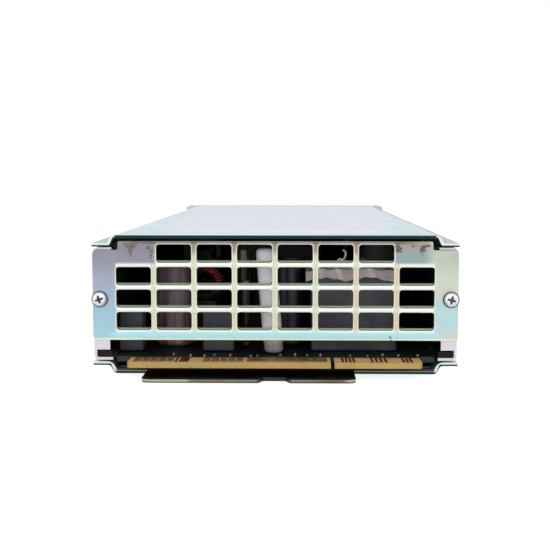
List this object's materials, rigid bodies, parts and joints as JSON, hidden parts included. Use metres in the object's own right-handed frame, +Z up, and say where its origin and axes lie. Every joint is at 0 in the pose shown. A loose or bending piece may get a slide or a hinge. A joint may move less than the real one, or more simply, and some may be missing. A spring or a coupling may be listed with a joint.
{
  "type": "rectifier module",
  "caption": "Flat hot-swap rectifier module with a pierced rear grille over a card edge, stepped guide rails, fans, pull handle and latch at the front.",
  "frame": {"origin": "centre of the bounding box, on the underside plane that the module rests on", "axes": "+Z up; +Y from the rear grille and card edge towards the faceplate; +X to the right as seen from the rear"},
  "size_m": [0.105, 0.2936, 0.04],
  "materials": {
    "zinc_plate": "iridescent zinc plating",
    "screw_steel": "bright plated",
    "black_plastic": "fine moulded",
    "faceplate_plastic": "fine moulded",
    "handle_metal": "satin coat",
    "clear_plastic": "clear",
    "laminate": "solder mask",
    "dark_film": "smooth film",
    "sleeve": "shrink sleeve",
    "pale_resin": "cast resin",
    "dark_resin": "cast resin",
    "ferrite": "ground",
    "tape": "crumpled film",
    "coil_tape": "wound tape",
    "enamelled_wire": "enamel",
    "bare_can": "drawn",
    "sink_aluminium": "extruded"
  },
  "bodies": {
    "case": {"base_plate": "zinc_plate", "top_cover": "zinc_plate", "side_wall_left": "zinc_plate", "side_wall_right": "zinc_plate", "rear_panel": "zinc_plate", "rear_screw_left": "screw_steel", "rear_screw_right": "screw_steel", "cover_screw_1": "screw_steel", "cover_screw_2": "screw_steel", "cover_screw_3": "screw_steel", "cover_screw_4": "screw_steel", "main_board": "laminate", "insulation_film": "dark_film", "standoff_1": "screw_steel", "standoff_2": "screw_steel", "standoff_3": "screw_steel", "standoff_4": "screw_steel", "board_screw_1": "screw_steel", "board_screw_2": "screw_steel", "board_screw_3": "screw_steel", "board_screw_4": "screw_steel", "board_guide_left": "black_plastic", "board_guide_right": "black_plastic", "front_bezel": "faceplate_plastic", "hinge_pin_left": "screw_steel", "hinge_pin_right": "screw_steel", "light_pipe_1": "clear_plastic", "light_pipe_2": "clear_plastic", "light_pipe_3": "clear_plastic", "indicator_board": "laminate", "fan_frame_left": "black_plastic", "fan_frame_right": "black_plastic", "brown_capacitor": "sleeve", "navy_capacitor": "sleeve", "film_capacitor": "pale_resin", "output_choke": "ferrite", "choke_tape": "tape", "side_inductor": "dark_resin", "filter_inductor": "dark_resin", "small_capacitor_1": "bare_can", "small_capacitor_2": "bare_can", "resonant_choke": "enamelled_wire", "heat_sink_left": "sink_aluminium", "heat_sink_right": "sink_aluminium", "power_device_1": "dark_resin", "power_device_2": "dark_resin", "bridge_rectifier": "dark_resin", "transformer_core": "ferrite", "transformer_coil": "coil_tape", "boost_inductor_core": "ferrite", "boost_inductor_coil": "coil_tape", "bulk_capacitor_1": "sleeve", "bulk_capacitor_2": "sleeve", "input_choke": "enamelled_wire", "control_board": "laminate"},
    "handle": {"handle": "handle_metal"},
    "latch": {"latch_slider": "black_plastic", "latch_keeper": "black_plastic"},
    "fan_left": {"fan_rotor_left": "black_plastic"},
    "fan_right": {"fan_rotor_right": "black_plastic"}
  },
  "joints": [
    {"name": "handle_swing", "type": "hinge", "parent": "case", "child": "handle", "pos_m": [0, 0.14335, 0.0052], "axis": [-1, 0, 0], "range_deg": [0, 80]},
    {"name": "latch_slide", "type": "slide", "parent": "case", "child": "latch", "axis": [1, 0, 0], "range_m": [0, 0.005]},
    {"name": "fan_left_spin", "type": "hinge", "parent": "case", "child": "fan_left", "pos_m": [-0.0258, 0.11, 0.02], "axis": [0, 1, 0], "continuous": true},
    {"name": "fan_right_spin", "type": "hinge", "parent": "case", "child": "fan_right", "pos_m": [0.0258, 0.11, 0.02], "axis": [0, 1, 0], "continuous": true}
  ]
}
